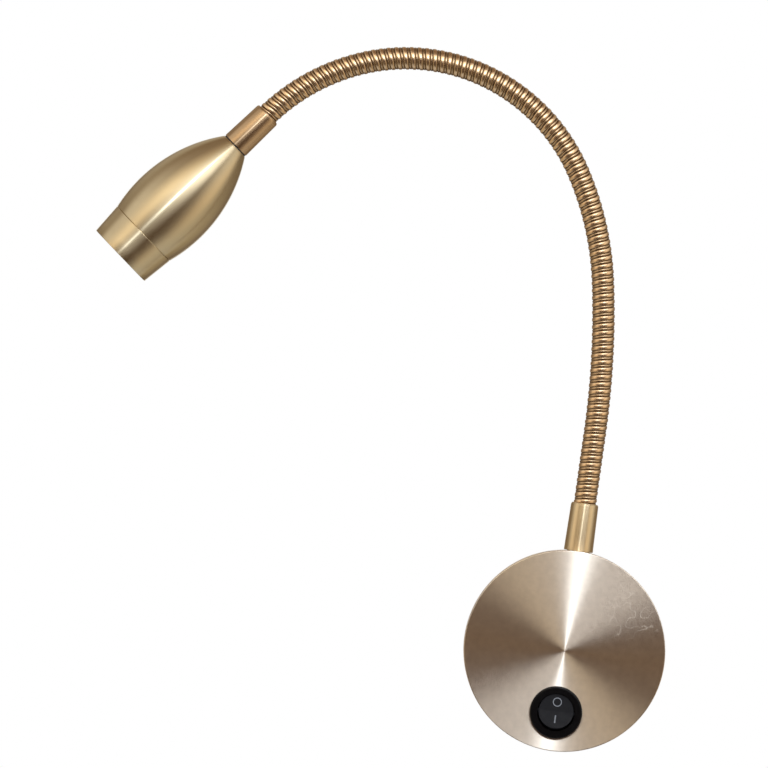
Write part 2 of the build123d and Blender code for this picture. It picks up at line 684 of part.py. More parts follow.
def driver_parts():
    """Rectifier, coil, large capacitor, transformer and small capacitor, in a row on the board."""
    face = BOARD_BACK - DRIVER_BOARD_THICK
    z = (DRIVER_BOTTOM + DRIVER_TOP) / 2
    widths = (RECTIFIER_SIDE, 2 * COIL_R, 2 * BIG_CAP_R, CORE_WIDTH, 2 * SMALL_CAP_R)
    x = row_middles(widths, DRIVER_WIDTH - 2 * DRIVER_WALL)
    half = RECTIFIER_SIDE / 2
    made = [block(x[0] - half, x[0] + half, face - RECTIFIER_TALL, face, z - half, z + half)]
    round_parts = ((1, COIL_R, COIL_TALL), (2, BIG_CAP_R, BIG_CAP_TALL), (4, SMALL_CAP_R, SMALL_CAP_TALL))
    for place, radius, tall in round_parts:
        made.append(rod(radius, (x[place], face, z), (x[place], face - tall, z)))
    wide, high = CORE_WIDTH / 2, CORE_HEIGHT / 2
    core = block(x[3] - wide, x[3] + wide, face - CORE_TALL, face, z - high, z + high)
    window = wide - CORE_NOTCH
    for side in (-1, 1):
        z0, z1 = sorted((z + side * high, z + side * (high - CORE_NOTCH)))
        core -= block(x[3] - window, x[3] + window, face - CORE_TALL, face, z0, z1)
    return Compound(made + [core])


# Head
def on_head(shape):
    """The shape moved from the Z axis to the axis of the head, zero at the back of the shell."""
    return neck_plane(NECK_LENGTH).offset(HEAD_FERRULE_LENGTH + WASHER_THICK) * shape


def head_radius(along):
    return HEAD_MAX_R - HEAD_ARC_R + math.sqrt(HEAD_ARC_R ** 2 - (along - HEAD_MAX_AT) ** 2)


def head_ferrule():
    end = neck_plane(NECK_LENGTH)
    return ferrule(end.origin + end.z_dir * HEAD_FERRULE_LENGTH, -end.z_dir, HEAD_FERRULE_LENGTH)


def head_washer():
    ring = Cylinder(HEAD_BACK_R - WASHER_INSET, WASHER_THICK, align=(Align.CENTER, Align.CENTER, Align.MAX))
    return on_head(ring - Cylinder(NIPPLE_R + FREE, 4 * WASHER_THICK))


def head_nipple():
    length = NIPPLE_GRIP + WASHER_THICK + BACK_WALL + NUT_THICK + NIPPLE_PAST_NUT
    tube = Cylinder(NIPPLE_R, length) - Cylinder(NIPPLE_BORE_R, length)
    return on_head(Pos(0, 0, length / 2 - NIPPLE_GRIP - WASHER_THICK) * tube)


def head_nut():
    end = neck_plane(NECK_LENGTH).offset(HEAD_FERRULE_LENGTH + WASHER_THICK + BACK_WALL)
    return hex_nut(end.origin, end.z_dir)


def head_shell():
    seam = head_radius(SEAM_AT)
    outer = ThreePointArc((HEAD_BACK_R, 0, 0), (HEAD_MAX_R, 0, HEAD_MAX_AT), (seam, 0, SEAM_AT))
    hole = NIPPLE_R + FREE
    inner = Polyline(
        (seam, 0, SEAM_AT),
        (CAVITY_R, 0, SEAM_AT),
        (CAVITY_R, 0, CAVITY_AT),
        (CAVITY_R - CAVITY_STEP, 0, CAVITY_AT),
        (NUT_ROOM_R, 0, NUT_ROOM_END),
        (NUT_ROOM_R, 0, BACK_WALL),
        (hole, 0, BACK_WALL),
        (hole, 0, 0),
        (HEAD_BACK_R, 0, 0),
    )
    return on_head(turned(*outer.edges(), *inner.edges()))


def heat_sink():
    slug = Pos(0, 0, (CAVITY_AT + SINK_END) / 2) * Cylinder(CAVITY_R - SLIP, SINK_END - CAVITY_AT)
    pitch = (SINK_END - CAVITY_AT) / (SINK_GROOVES + 1)
    groove = Cylinder(CAVITY_R + OVERCUT, SINK_GROOVE)
    groove -= Cylinder(CAVITY_R - SINK_GROOVE_DEEP, 2 * SINK_GROOVE)
    screw_hole = Cylinder(BOARD_SCREW_R + SLIP, 2 * BOARD_SCREW_LENGTH)
    for number in range(SINK_GROOVES):
        slug -= Pos(0, 0, CAVITY_AT + (number + 1) * pitch) * groove
    for side in (-1, 1):
        slug -= Pos(0, side * SINK_HOLE_AT, SINK_END) * Cylinder(SINK_HOLE_R, 4 * SINK_END)
        slug -= Pos(side * BOARD_SCREW_AT, 0, SINK_END) * screw_hole
    return on_head(slug)


def led_board():
    board = Pos(0, 0, SINK_END + BOARD_THICK / 2) * Cylinder(BOARD_R, BOARD_THICK)
    for side in (-1, 1):
        board -= Pos(0, side * SINK_HOLE_AT, SINK_END) * Cylinder(BOARD_NOTCH_R, 4 * BOARD_THICK)
        board -= Pos(side * BOARD_SCREW_AT, 0, SINK_END) * Cylinder(BOARD_SCREW_R + FREE, 4 * BOARD_THICK)
    return on_head(board)


def board_screws():
    top = SINK_END + BOARD_THICK
    screws = []
    for side in (-1, 1):
        shank = Pos(0, 0, top - BOARD_SCREW_LENGTH / 2) * Cylinder(BOARD_SCREW_R, BOARD_SCREW_LENGTH)
        head = Pos(0, 0, top + BOARD_SCREW_HEAD / 2) * Cylinder(BOARD_SCREW_HEAD_R, BOARD_SCREW_HEAD)
        screws.append(on_head(Pos(side * BOARD_SCREW_AT, 0, 0) * (shank + head)))
    return Compound(screws)


def led_emitter():
    top = SINK_END + BOARD_THICK
    base = Pos(0, 0, top + EMITTER_BASE / 2) * Box(EMITTER_SIDE, EMITTER_SIDE, EMITTER_BASE)
    room = 4 * DOME_R
    upper = Box(room, room, room, align=(Align.CENTER, Align.CENTER, Align.MIN))
    return on_head(base + Pos(0, 0, top + EMITTER_BASE) * (Sphere(DOME_R) & upper))


def led_wires():
    """Two cores of the lead, from its end through the heat sink to the board."""
    foot = WIRE_START + WIRE_STRAIGHT
    rise = CAVITY_AT - WIRE_STRAIGHT - foot
    across = SINK_HOLE_AT - WIRE_R - SLIP
    turn = 2 * math.atan(across / rise)
    radius = rise / (2 * math.sin(turn))
    half_z = radius * math.sin(turn / 2)
    wires = []
    for side in (-1, 1):
        near, far = side * (WIRE_R + SLIP), side * SINK_HOLE_AT
        half_y = side * radius * (1 - math.cos(turn / 2))
        middle = (0, (near + far) / 2, foot + rise / 2)
        wires.append(on_head(bent_rod(
            WIRE_R,
            Line((0, near, WIRE_START), (0, near, foot)),
            ThreePointArc((0, near, foot), (0, near + half_y, foot + half_z), middle),
            ThreePointArc(middle, (0, far - half_y, foot + rise - half_z), (0, far, foot + rise)),
            Line((0, far, foot + rise), (0, far, SINK_END + BOARD_THICK + WIRE_PAST_BOARD)),
        )))
    return Compound(wires)


def lens_holder():
    length = LENS_FRONT - LENS_FLANGE - SINK_END
    tube = Cylinder(LENS_R, length) - Cylinder(HOLDER_BORE_R, length)
    return on_head(Pos(0, 0, SINK_END + length / 2) * tube)


def lens():
    back = LENS_FRONT - LENS_FLANGE
    return on_head(turned_line(
        (0, LENS_FRONT),
        (LENS_R, LENS_FRONT),
        (LENS_R, back),
        (LENS_CONE_R, back),
        (LENS_BACK_R, LENS_BACK),
        (POCKET_R, LENS_BACK),
        (POCKET_R, LENS_BACK + POCKET_DEEP),
        (0, LENS_BACK + POCKET_DEEP),
    ))


def front_ring():
    seam = head_radius(SEAM_AT)
    shoulder = SEAM_AT + SEAM_GAP
    return on_head(turned_line(
        (RING_BORE_R, SPIGOT_BACK),
        (CAVITY_R - FREE, SPIGOT_BACK),
        (CAVITY_R - FREE, shoulder),
        (seam - SEAM_CHAMFER, shoulder),
        (seam, shoulder + SEAM_CHAMFER),
        (FRONT_R, HEAD_LENGTH - FRONT_EDGE),
        (FRONT_R - FRONT_EDGE, HEAD_LENGTH),
        (MOUTH_R, HEAD_LENGTH),
        (LIP_R, LIP_AT + LIP_THICK),
        (LIP_R, LIP_AT),
        (RING_BORE_R, LIP_AT),
    ))


def pieces():
    """Every node by name."""
    made = {
        "base_cover": base_cover(),
        "mounting_plate": mounting_plate(),
        "cover_screws": cover_screws(),
        "cable_grommet": cable_grommet(),
        "terminal_block": terminal_block(),
        "terminal_screws": terminal_screws(),
        "mains_leads": mains_leads(),
        "driver_case": driver_case(),
        "driver_lid": driver_lid(),
        "driver_board": driver_board(),
        "driver_parts": driver_parts(),
        "base_nipple": base_nipple(),
        "saddle_washer": saddle_washer(),
        "base_nut": base_nut(),
        "base_ferrule": ferrule((0, -NECK_OUT, BASE_R), (0, 0, 1), FERRULE_LENGTH),
        "switch_body": switch_body(),
        "switch_terminals": switch_terminals(),
        "switch_rocker": switch_rocker(),
        "rocker_plunger": rocker_plunger(),
        "rocker_spring": rocker_spring(),
        "contact_blade": contact_blade(),
        "led_lead": led_lead(),
        "head_ferrule": head_ferrule(),
        "head_washer": head_washer(),
        "head_nipple": head_nipple(),
        "head_nut": head_nut(),
        "head_shell": head_shell(),
        "heat_sink": heat_sink(),
        "led_board": led_board(),
        "board_screws": board_screws(),
        "led_emitter": led_emitter(),
        "led_wires": led_wires(),
        "lens_holder": lens_holder(),
        "lens": lens(),
        "front_ring": front_ring(),
    }
    for number in range(1, LINKS + 1):
        made[f"neck_link_{number:02d}"] = neck_link(number)
    return made


def main():
    os.makedirs("parts", exist_ok=True)
    for name, shape in pieces().items():
        shape.label = name
        export_step(shape, f"parts/{name}.step")
        print(name, round(shape.volume, 1), "mm3")


if __name__ == "__main__":
    main()
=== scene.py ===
import json
import math

import bmesh
import bpy
from mathutils import Matrix, Vector


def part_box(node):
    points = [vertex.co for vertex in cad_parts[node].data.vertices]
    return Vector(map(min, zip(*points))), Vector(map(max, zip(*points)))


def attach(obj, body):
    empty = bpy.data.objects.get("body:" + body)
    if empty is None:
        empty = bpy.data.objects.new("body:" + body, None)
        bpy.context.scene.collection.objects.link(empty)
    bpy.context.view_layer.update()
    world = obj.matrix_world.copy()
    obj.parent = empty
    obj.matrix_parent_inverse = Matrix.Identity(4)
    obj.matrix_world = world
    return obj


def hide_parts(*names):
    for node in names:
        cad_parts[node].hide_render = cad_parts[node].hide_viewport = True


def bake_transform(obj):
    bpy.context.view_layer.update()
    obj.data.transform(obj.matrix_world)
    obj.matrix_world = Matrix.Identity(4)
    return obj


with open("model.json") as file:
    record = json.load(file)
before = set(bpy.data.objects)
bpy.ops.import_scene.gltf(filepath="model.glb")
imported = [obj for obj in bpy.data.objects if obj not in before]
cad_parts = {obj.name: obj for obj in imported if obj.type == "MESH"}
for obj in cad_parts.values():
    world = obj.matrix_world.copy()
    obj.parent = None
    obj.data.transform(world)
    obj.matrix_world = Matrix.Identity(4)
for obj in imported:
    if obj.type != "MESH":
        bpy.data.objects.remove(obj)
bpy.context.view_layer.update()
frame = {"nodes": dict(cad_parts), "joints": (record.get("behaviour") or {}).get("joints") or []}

nodes = frame["nodes"]
joints = {joint["name"]: joint for joint in frame["joints"]}

MM = 0.001
MICRON = 0.000001

# Neck's line, links and lead, with the sizes of the solids
NECK_STRAIGHT = 32.0 * MM
NECK_BENDS = [(374.0 * MM, 9.95), (134.3 * MM, 21.3), (82.1 * MM, 79.0), (89.2 * MM, 31.45)]
LINKS = 24
RIBS_PER_LINK = 4
HOSE_R = 5.0 * MM
LEAD_R = 1.3 * MM
LEAD_IN_HEAD = 33.6 * MM
LEAD_FOOT = 26.0 * MM

# Wound strip of the hose: a broad rib and a low ridge in each turn
GROOVE_R = 4.5 * MM
RIDGE_R = 4.84 * MM
RIB_SHARE = 0.62
RIB_FLATNESS = 3.0
RIDGE_FLATNESS = 2.0
RIB_SHOULDER = 0.6
HOSE_TUCK_TURNS = 1

# Ferrules and head in millimetres, with the sizes of the solids and softened edges
BASE_FERRULE = 21.0
HEAD_FERRULE = 19.6
FERRULE_ROOT = [(5.05, 0.0), (6.2, 0.0), (6.34, 0.06), (6.4, 0.2)]
FERRULE_MOUTH = [
    (6.05, -1.4), (6.0, -0.7), (5.95, -0.55), (5.66, -0.08), (5.58, 0.0), (5.3, 0.0), (5.05, -0.25),
]
WASHER = 0.5
HEAD_BACK_R = 6.4
HEAD_MAX_R = 18.6
HEAD_MAX_AT = 38.8
SEAM_AT = 55.3
HEAD_EDGE = 0.2
HEAD_INSIDE = [
    (14.6, SEAM_AT), (14.6, 30.0), (13.2, 30.0), (8.7, 12.0), (8.7, 8.0), (5.1, 8.0), (5.1, 0.0),
]
RING_OUTLINE = [
    (12.9, 47.0), (14.5, 47.0), (14.5, 55.34), (16.38, 55.34), (16.5, 55.4), (16.58, 55.55),
    (16.2, 59.9), (15.8, 64.4), (15.4, 69.0), (15.3, 69.2), (15.1, 69.3), (13.6, 69.3),
    (11.8, 67.0), (11.8, 66.2), (12.9, 66.2),
]

# Rocker face and its marks
FACE_MIDDLE = 2.3 * MM
FACE_EDGE = 3.3 * MM
FACE_EDGE_AT = 8.6 * MM
FACE_SLOPE = (FACE_EDGE - FACE_MIDDLE) / FACE_EDGE_AT
ROCKER_TILT = math.radians(11.0)
MARK_PROUD = 0.05 * MM
RING_MARK_AT = 4.1 * MM
RING_MARK_R = 1.95 * MM
RING_MARK_LINE = 0.34 * MM
BAR_MARK_AT = -3.5 * MM
BAR_MARK_LENGTH = 3.5 * MM
BAR_MARK_WIDTH = 0.5 * MM
BAR_CORE = 0.05 * MM

# Disc's face, and the place on it that is scuffed
DISC_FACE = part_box("base_cover")[0].y
DISC_MIDDLE = Vector((0.0, DISC_FACE, 0.0))
SCUFF_PLACE = (27.0 * MM, DISC_FACE, 21.0 * MM)
SCUFF_REACH = 15.0 * MM
SCUFF_CORE = 1.5 * MM

# Camera
ROLL = math.radians(8.0)
TARGET = Vector((-0.094246, DISC_FACE, 0.104486))
CAMERA_AWAY = 8.0
VIEW_WIDTH = 0.3352
SENSOR = 36.0

# Floor and key lamp, in metres
FLOOR_R = 0.45
FLOOR_Z = -0.60
KEY_AWAY = 4.0
KEY_UP = math.radians(25.0)
KEY_LEAN = math.radians(4.0)
KEY_SIZE = 0.22
KEY_WATTS = 18.0
KEY_COLOUR = (0.88, 1.0, 1.15)

# Steps and crisp edges of the meshes
HOSE_STEPS = 48
RIB_STEPS = 12
RIDGE_STEPS = 6
LEAD_STEPS = 12
LEAD_ROW = 2.0 * MM
TURNED_STEPS = 160
HEAD_ROWS = 72
RING_MARK_STEPS = 48
BAR_END_STEPS = 24
FLOOR_STEPS = 96
SHARP_ABOVE = math.radians(28.0)

# Neck line
ferrule_low, ferrule_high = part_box("base_ferrule")
NECK_FROM = Vector((0.0, (ferrule_low.y + ferrule_high.y) / 2, ferrule_high.z))
NECK_LENGTH = NECK_STRAIGHT + sum(radius * math.radians(turn) for radius, turn in NECK_BENDS)
LINK_LENGTH = NECK_LENGTH / LINKS
PITCH = LINK_LENGTH / RIBS_PER_LINK


def neck_at(length):
    """Centre of the neck and its heading, a given length past the base ferrule's mouth."""
    x, z, heading = NECK_FROM.x, NECK_FROM.z, math.pi / 2
    ahead = min(length, NECK_STRAIGHT)
    z += ahead
    left = length - ahead
    for radius, degrees in NECK_BENDS:
        turn = min(left / radius, math.radians(degrees))
        x += radius * (math.sin(heading + turn) - math.sin(heading))
        z -= radius * (math.cos(heading + turn) - math.cos(heading))
        heading += turn
        left -= radius * turn
    return Vector((x + left * math.cos(heading), NECK_FROM.y, z + left * math.sin(heading))), heading


def neck_axes(length):
    """Centre of the neck, its direction, and the front and side directions square to it."""
    centre, heading = neck_at(length)
    along = Vector((math.cos(heading), 0.0, math.sin(heading)))
    front = Vector((0.0, -1.0, 0.0))
    return centre, along, front, along.cross(front)


# Mesh helpers
def new_piece(name, verts, faces):
    """A smooth mesh object of that name in the scene."""
    mesh = bpy.data.meshes.new(name)
    mesh.from_pydata(verts, [], faces)
    mesh.update()
    mesh.polygons.foreach_set("use_smooth", [True] * len(mesh.polygons))
    piece = bpy.data.objects.new(name, mesh)
    bpy.context.scene.collection.objects.link(piece)
    return piece


def face_outwards(piece):
    """Turns the faces outwards and keeps the sharp edges crisp."""
    work = bmesh.new()
    work.from_mesh(piece.data)
    bmesh.ops.recalc_face_normals(work, faces=work.faces)
    work.to_mesh(piece.data)
    work.free()
    piece.data.set_sharp_from_angle(angle=SHARP_ABOVE)


def turned(name, outline, place):
    """A ring turned about local Z from a closed outline of (radius, height) in millimetres."""
    verts = []
    for step in range(TURNED_STEPS):
        angle = 2 * math.pi * step / TURNED_STEPS
        for radius, height in outline:
            verts.append((radius * MM * math.cos(angle), radius * MM * math.sin(angle), height * MM))
    count = len(outline)
    faces = []
    for step in range(TURNED_STEPS):
        here, there = step * count, (step + 1) % TURNED_STEPS * count
        for point in range(count):
            after = (point + 1) % count
            faces.append((here + point, there + point, there + after, here + after))
    piece = new_piece(name, verts, faces)
    face_outwards(piece)
    piece.matrix_world = place
    return piece


def axes_matrix(origin, along):
    """Placement with local Z along a direction and local X along +Y."""
    across = Vector((0.0, 1.0, 0.0))
    side = along.cross(across)
    rows = Matrix((across, side, along)).transposed().to_4x4()
    return Matrix.Translation(origin) @ rows


# Finish helpers: most of a noise texture lies between the low and the high value
NOISE_LOW = 0.3
NOISE_MIDDLE = 0.5
NOISE_HIGH = 0.7


def shade(colour, factor):
    """A colour made lighter or darker."""
    return tuple(min(1.0, part * factor) for part in colour)


class Finish:
    """A node material built up step by step around one Principled shader."""

    def __init__(self, name):
        self.material = bpy.data.materials.new(name)
        self.material.use_nodes = True
        self.tree = self.material.node_tree
        self.shader = self.tree.nodes["Principled BSDF"]
        self.coordinates = self.add("ShaderNodeTexCoord").outputs["Object"]

    def add(self, kind, **settings):
        """A new node with some of its settings."""
        node = self.tree.nodes.new(kind)
        for key, value in settings.items():
            setattr(node, key, value)
        return node

    def link(self, source, target):
        """Joins an output to an input."""
        self.tree.links.new(source, target)

    def set(self, **values):
        """Sets the shader's plain values, with an underscore for each space in a name."""
        for key, value in values.items():
            self.shader.inputs[key.replace("_", " ")].default_value = value

    def noise(self, cells, detail=3.0):
        """Noise over the object, in cells per metre."""
        texture = self.add("ShaderNodeTexNoise")
        texture.inputs["Scale"].default_value = cells
        texture.inputs["Detail"].default_value = detail
        self.link(self.coordinates, texture.inputs["Vector"])
        return texture.outputs["Fac"]

    def lines(self, source, cells, detail=4.0):
        """Noise along one value, for turning marks."""
        texture = self.add("ShaderNodeTexNoise", noise_dimensions="1D")
        texture.inputs["Scale"].default_value = cells
        texture.inputs["Detail"].default_value = detail
        self.link(source, texture.inputs["W"])
        return texture.outputs["Fac"]

    def radius(self):
        """Distance from the object's Y axis."""
        flat = self.add("ShaderNodeVectorMath", operation="MULTIPLY")
        flat.inputs[1].default_value = (1.0, 0.0, 1.0)
        self.link(self.coordinates, flat.inputs[0])
        length = self.add("ShaderNodeVectorMath", operation="LENGTH")
        self.link(flat.outputs["Vector"], length.inputs[0])
        return length.outputs["Value"]

    def distance(self, point):
        """Distance from a point of the object."""
        node = self.add("ShaderNodeVectorMath", operation="DISTANCE")
        self.link(self.coordinates, node.inputs[0])
        node.inputs[1].default_value = point
        return node.outputs["Value"]

    def part(self, axis):
        """One coordinate of the object."""
        parts = self.add("ShaderNodeSeparateXYZ")
        self.link(self.coordinates, parts.inputs["Vector"])
        return parts.outputs[axis]

    def ramp(self, source, stops):
        """Colour ramp of (position, colour) stops."""
        node = self.add("ShaderNodeValToRGB")
        elements = node.color_ramp.elements
        while len(elements) < len(stops):
            elements.new(1.0)
        for element, (position, colour) in zip(elements, stops):
            element.position = position
            element.color = (*colour, 1.0)
        self.link(source, node.inputs["Fac"])
        return node.outputs["Color"]

    def tones(self, source, colour, dark, light):
        """A colour that goes from a darker to a lighter shade over a texture's middle range."""
        return self.ramp(source, [(NOISE_LOW, shade(colour, dark)), (NOISE_HIGH, shade(colour, light))])

    def span(self, source, from_value, to_value, low=0.0, high=1.0):
        """Maps a stretch of a value to low and high."""
        node = self.add("ShaderNodeMapRange")
        node.inputs["From Min"].default_value = from_value
        node.inputs["From Max"].default_value = to_value
        node.inputs["To Min"].default_value = low
        node.inputs["To Max"].default_value = high
        self.link(source, node.inputs["Value"])
        return node.outputs["Result"]

    def value(self, operation, first, second):
        """Result of one operation on a value and another value or a number."""
        node = self.add("ShaderNodeMath", operation=operation)
        self.link(first, node.inputs[0])
        if isinstance(second, float):
            node.inputs[1].default_value = second
        else:
            self.link(second, node.inputs[1])
        return node.outputs["Value"]

    def mix(self, factor, first, colour):
        """Turns a colour output towards a fixed colour by a factor."""
        node = self.add("ShaderNodeMixRGB")
        self.link(factor, node.inputs["Fac"])
        self.link(first, node.inputs["Color1"])
        node.inputs["Color2"].default_value = (*colour, 1.0)
        return node.outputs["Color"]

    def colour(self, source):
        """Links the base colour."""
        self.link(source, self.shader.inputs["Base Color"])

    def metallic(self, source):
        """Links how metallic the surface is."""
        self.link(source, self.shader.inputs["Metallic"])

    def roughness(self, source, rough):
        """Links the roughness, a texture between a lowest and a highest value."""
        self.link(self.span(source, NOISE_LOW, NOISE_HIGH, *rough), self.shader.inputs["Roughness"])

    def bump(self, source, depth, strength):
        """Relief of a real depth in metres."""
        node = self.add("ShaderNodeBump")
        node.inputs["Strength"].default_value = strength
        node.inputs["Distance"].default_value = depth
        self.link(source, node.inputs["Height"])
        self.link(node.outputs["Normal"], self.shader.inputs["Normal"])

    def brushed(self, axis):
        """Stretches gleams across turning marks that run round an axis."""
        self.set(Anisotropic=1.0, Anisotropic_Rotation=0.25)
        node = self.add("ShaderNodeTangent", direction_type="RADIAL", axis=axis)
        self.link(node.outputs["Tangent"], self.shader.inputs["Tangent"])


# Finishes, with textures in cells per metre
TURNING_MARKS = 5200.0
TURNING_DEPTH = 4.0 * MICRON
TURNED_CLOUDS = 260.0
DISC_CLOUDS = 380.0
SCUFF_CURLS = 150.0
SCUFF_LINE_EDGE = 0.012
SCUFF_LINE_CORE = 0.003
METAL_GRAIN = 900.0
METAL_CLOUDS = 360.0
METAL_FINE_GRAIN = 2700.0
METAL_DEPTH = 20.0 * MICRON
HOSE_CLOUDS = 560.0
HOSE_GRAIN = 4200.0
HOSE_DEPTH = 6.0 * MICRON
MOULD_GRAIN = 2200.0
MOULD_DEPTH = 30.0 * MICRON
BOARD_GRAIN = 5000.0
FLOOR_GRAIN = 300.0

# Coarser noise on a moulded surface, as shares of its grain
MOULD_TONES = 0.15
MOULD_GLOSS = 0.3

# Heights on the hose, from its groove at 0 to its rib at 1, at which its colour changes: darker lower
# down, partly tarnish and partly painted shade in the hollows
GROOVE_EDGE = 0.25
RIB_FLANK = 0.62
RIB_CROWN = 0.95

# Shades as factors of the plain colour: of the hose's groove edges and flanks, partly tarnish and partly
# painted shade, and of the disc's worn scuffs
GROOVE_EDGE_SHADE = 2.4
RIB_FLANK_TARNISH_AND_SHADE = 0.62
SCUFF_SHADE = 1.15


def turned_metal(name, colour, rough):
    """Metal turned on a lathe: fine marks round Z, which spread gleams along it."""
    finish = Finish(name)
    marks = finish.lines(finish.part("Z"), TURNING_MARKS)
    finish.set(Metallic=1.0)
    finish.colour(finish.tones(marks, colour, dark=0.975, light=1.02))
    finish.roughness(finish.noise(TURNED_CLOUDS, detail=4.0), rough)
    finish.bump(marks, TURNING_DEPTH, strength=0.1)
    finish.brushed("Z")
    return finish.material


def worn_disc(name, colour, rough):
    """Turned face with faint clouds in its grain and a few fine matt scuffs at one place."""
    finish = Finish(name)
    marks = finish.lines(finish.radius(), TURNING_MARKS)
    clouds = finish.noise(DISC_CLOUDS, detail=8.0)
    curls = finish.value("SUBTRACT", finish.noise(SCUFF_CURLS, detail=1.0), NOISE_MIDDLE)
    hairlines = finish.span(finish.value("ABSOLUTE", curls, 0.0), SCUFF_LINE_EDGE, SCUFF_LINE_CORE)
    handled = finish.span(finish.distance(SCUFF_PLACE), SCUFF_REACH, SCUFF_CORE)
    scuffs = finish.value("MULTIPLY", hairlines, handled)
    grain = finish.tones(clouds, colour, dark=0.955, light=1.04)
    finish.colour(finish.mix(scuffs, grain, shade(colour, SCUFF_SHADE)))
    finish.metallic(finish.span(scuffs, 1.0, 0.0))
    finish.roughness(clouds, rough)
    finish.bump(marks, TURNING_DEPTH, strength=0.2)
    finish.brushed("Y")
    return finish.material


def plain_metal(name, colour, rough):
    """Drawn or plated metal with a fine uneven grain."""
    finish = Finish(name)
    finish.set(Metallic=1.0)
    finish.colour(finish.tones(finish.noise(METAL_GRAIN, detail=4.0), colour, dark=0.88, light=1.06))
    finish.roughness(finish.noise(METAL_CLOUDS), rough)
    finish.bump(finish.noise(METAL_FINE_GRAIN), METAL_DEPTH, strength=0.3)
    return finish.material


def wound_metal(name, colour, rough):
    """Metal strip that is bright on its crests and darker down its flanks and grooves, partly tarnish
    and partly painted shade.
    """
    finish = Finish(name)
    crest = finish.add("ShaderNodeAttribute", attribute_name="crest").outputs["Fac"]
    finish.set(Metallic=1.0)
    # Painted shade with tarnish: the lower a point of the strip, the darker its colour
    finish.colour(finish.ramp(crest, [
        (0.0, GROOVE_TARNISH_AND_SHADE),
        (GROOVE_EDGE, shade(GROOVE_TARNISH_AND_SHADE, GROOVE_EDGE_SHADE)),
        (RIB_FLANK, shade(colour, RIB_FLANK_TARNISH_AND_SHADE)),
        (RIB_CROWN, colour),
    ]))
    finish.roughness(finish.noise(HOSE_CLOUDS), rough)
    finish.bump(finish.noise(HOSE_GRAIN), HOSE_DEPTH, strength=0.3)
    return finish.material


def moulded(name, colour, rough, grain=MOULD_GRAIN, depth=MOULD_DEPTH, vary=0.08, **settings):
    """Moulded plastic, rubber or board with a fine surface texture."""
    finish = Finish(name)
    finish.set(**settings)
    finish.colour(finish.tones(finish.noise(grain * MOULD_TONES), colour, dark=1 - vary, light=1 + vary))
    finish.roughness(finish.noise(grain * MOULD_GLOSS), rough)
    finish.bump(finish.noise(grain), depth, strength=0.25)
    return finish.material


# Colours
CHAMPAGNE = (0.76, 0.665, 0.56)
BRASS = (0.74, 0.62, 0.41)
BRONZE = (0.85, 0.61, 0.375)
# Colour deep in the hose's grooves: partly tarnish, partly painted shade of the hollows
GROOVE_TARNISH_AND_SHADE = (0.07, 0.036, 0.016)
COPPER_BRONZE = (0.66, 0.465, 0.28)
FERRULE_GOLD = (0.90, 0.73, 0.47)
ZINC = (0.60, 0.61, 0.62)
ALUMINIUM = (0.74, 0.75, 0.76)
CONTACT_YELLOW = (0.72, 0.52, 0.28)
STEEL = (0.55, 0.56, 0.57)
BEZEL_BLACK = (0.004, 0.004, 0.0045)
ROCKER_BLACK = (0.006, 0.0066, 0.010)
MARK_GREY = (0.30, 0.32, 0.36)
OFF_WHITE = (0.80, 0.80, 0.77)
BOARD_GREEN = (0.035, 0.22, 0.10)
BOARD_WHITE = (0.82, 0.83, 0.82)
CASE_BLACK = (0.05, 0.05, 0.055)
SHEATH_BLACK = (0.025, 0.025, 0.028)
CORE_RED = (0.38, 0.05, 0.035)
RUBBER_BLACK = (0.022, 0.022, 0.022)
PHOSPHOR_YELLOW = (0.86, 0.66, 0.14)
LENS_CLEAR = (0.93, 0.94, 0.95)
FLOOR_GREY = (0.80, 0.80, 0.79)

# Materials
disc_metal = worn_disc("turned_champagne", CHAMPAGNE, rough=(0.29, 0.315))
head_metal = turned_metal("turned_brass", BRASS, rough=(0.295, 0.31))
ferrule_gold = turned_metal("satin_gold", FERRULE_GOLD, rough=(0.37, 0.39))
ferrule_copper = turned_metal("satin_copper", COPPER_BRONZE, rough=(0.31, 0.325))
hose_metal = wound_metal("bronze_winding", BRONZE, rough=(0.30, 0.36))
zinc_steel = plain_metal("zinc_plate", ZINC, rough=(0.30, 0.42))
bare_aluminium = plain_metal("bare_aluminium", ALUMINIUM, rough=(0.28, 0.4))
contact_brass = plain_metal("contact_brass", CONTACT_YELLOW, rough=(0.22, 0.34))
spring_steel = plain_metal("spring_steel", STEEL, rough=(0.22, 0.32))
black_gloss = moulded(
    "black_gloss", BEZEL_BLACK, rough=(0.16, 0.24), depth=4.0 * MICRON, Specular_IOR_Level=0.2
)
rocker_black = moulded(
    "rocker_black", ROCKER_BLACK, rough=(0.56, 0.66), depth=10.0 * MICRON, Specular_IOR_Level=0.22
)
mark_white = moulded("mark_white", MARK_GREY, rough=(0.40, 0.5), depth=5.0 * MICRON)
white_plastic = moulded("white_plastic", OFF_WHITE, rough=(0.38, 0.48))
green_board = moulded("green_board", BOARD_GREEN, rough=(0.30, 0.40), grain=BOARD_GRAIN)
white_board = moulded("white_board", BOARD_WHITE, rough=(0.32, 0.42), grain=BOARD_GRAIN)
component_black = moulded("component_black", CASE_BLACK, rough=(0.40, 0.55))
lead_black = moulded("lead_black", SHEATH_BLACK, rough=(0.45, 0.58))
wire_red = moulded("wire_red", CORE_RED, rough=(0.38, 0.5))
soft_rubber = moulded("soft_rubber", RUBBER_BLACK, rough=(0.55, 0.7))
phosphor = moulded("phosphor", PHOSPHOR_YELLOW, rough=(0.25, 0.35))
clear_lens = moulded(
    "clear_lens", LENS_CLEAR, rough=(0.03, 0.06), depth=2.0 * MICRON, Transmission_Weight=1.0, IOR=1.49
)
pale_floor = moulded("pale_floor", FLOOR_GREY, rough=(0.55, 0.65), grain=FLOOR_GRAIN, vary=0.01)

